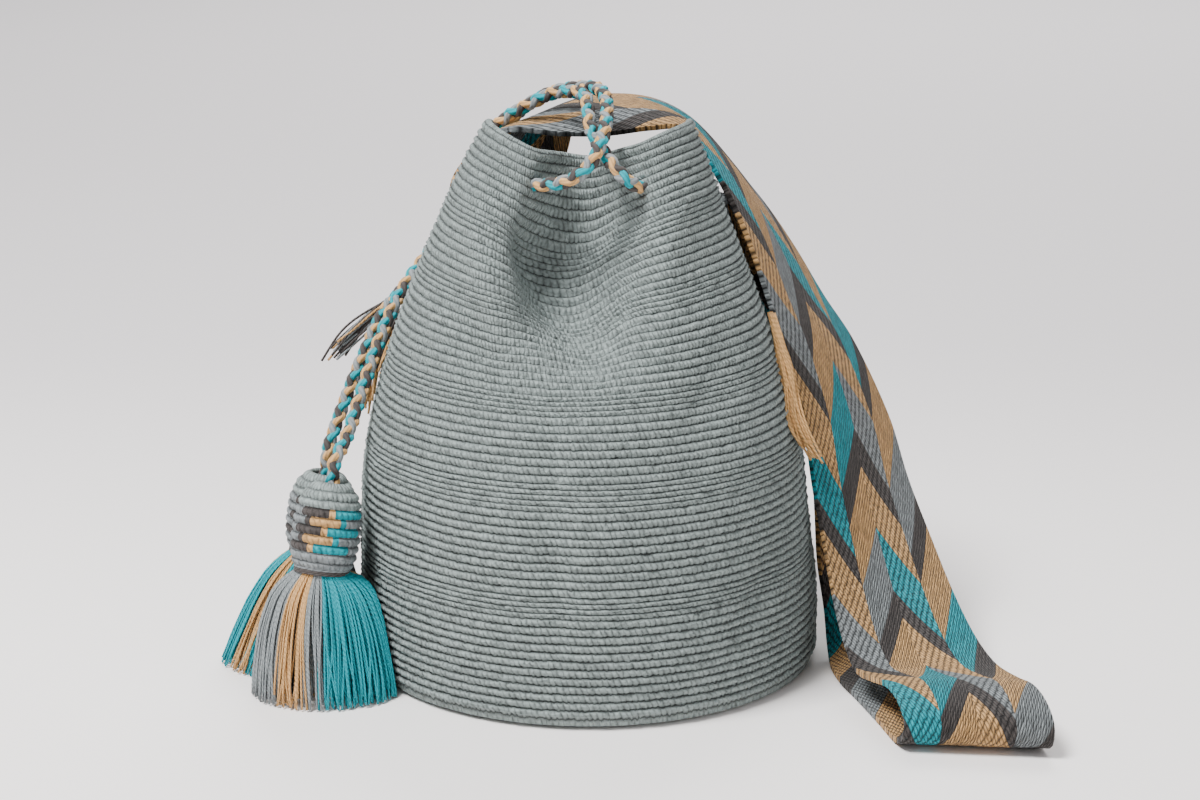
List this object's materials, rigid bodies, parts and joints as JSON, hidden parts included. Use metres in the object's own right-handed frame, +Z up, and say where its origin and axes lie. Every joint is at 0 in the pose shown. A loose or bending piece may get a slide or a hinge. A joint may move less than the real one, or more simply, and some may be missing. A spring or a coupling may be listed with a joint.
{
  "type": "wayuu mochila bag",
  "caption": "Crocheted cotton bucket bag with an open gathered mouth, braided drawstring with tassels, and a woven patterned shoulder strap.",
  "frame": {"origin": "centre of the flat crocheted base, on the surface the bag stands on", "axes": "+Z up out of the mouth, -Y to the bag's front, +X to the side where the strap hangs"},
  "size_m": [0.4368, 0.2896, 0.3156],
  "materials": {
    "crocheted_cotton": "matt grey-green crocheted cotton",
    "woven_strap": "matt ply-split cotton in teal, beige, dark brown and grey",
    "warp_yarn": "matt loose cotton yarn",
    "braided_cord": "matt braided cotton in four colours",
    "tassel_head_yarn": "matt crocheted cotton",
    "tassel_yarn": "matt two-ply cotton yarn in four colours"
  },
  "bodies": {
    "root": {"bag_body": "crocheted_cotton", "shoulder_strap": "woven_strap", "strap_seam_left": "crocheted_cotton", "strap_seam_right": "crocheted_cotton", "strap_fringe_left": "warp_yarn", "strap_fringe_right": "warp_yarn", "drawstring": "braided_cord", "front_tassel_head": "tassel_head_yarn", "front_tassel_skirt": "tassel_yarn", "rear_tassel_head": "tassel_head_yarn", "rear_tassel_skirt": "tassel_yarn"}
  },
  "joints": []
}
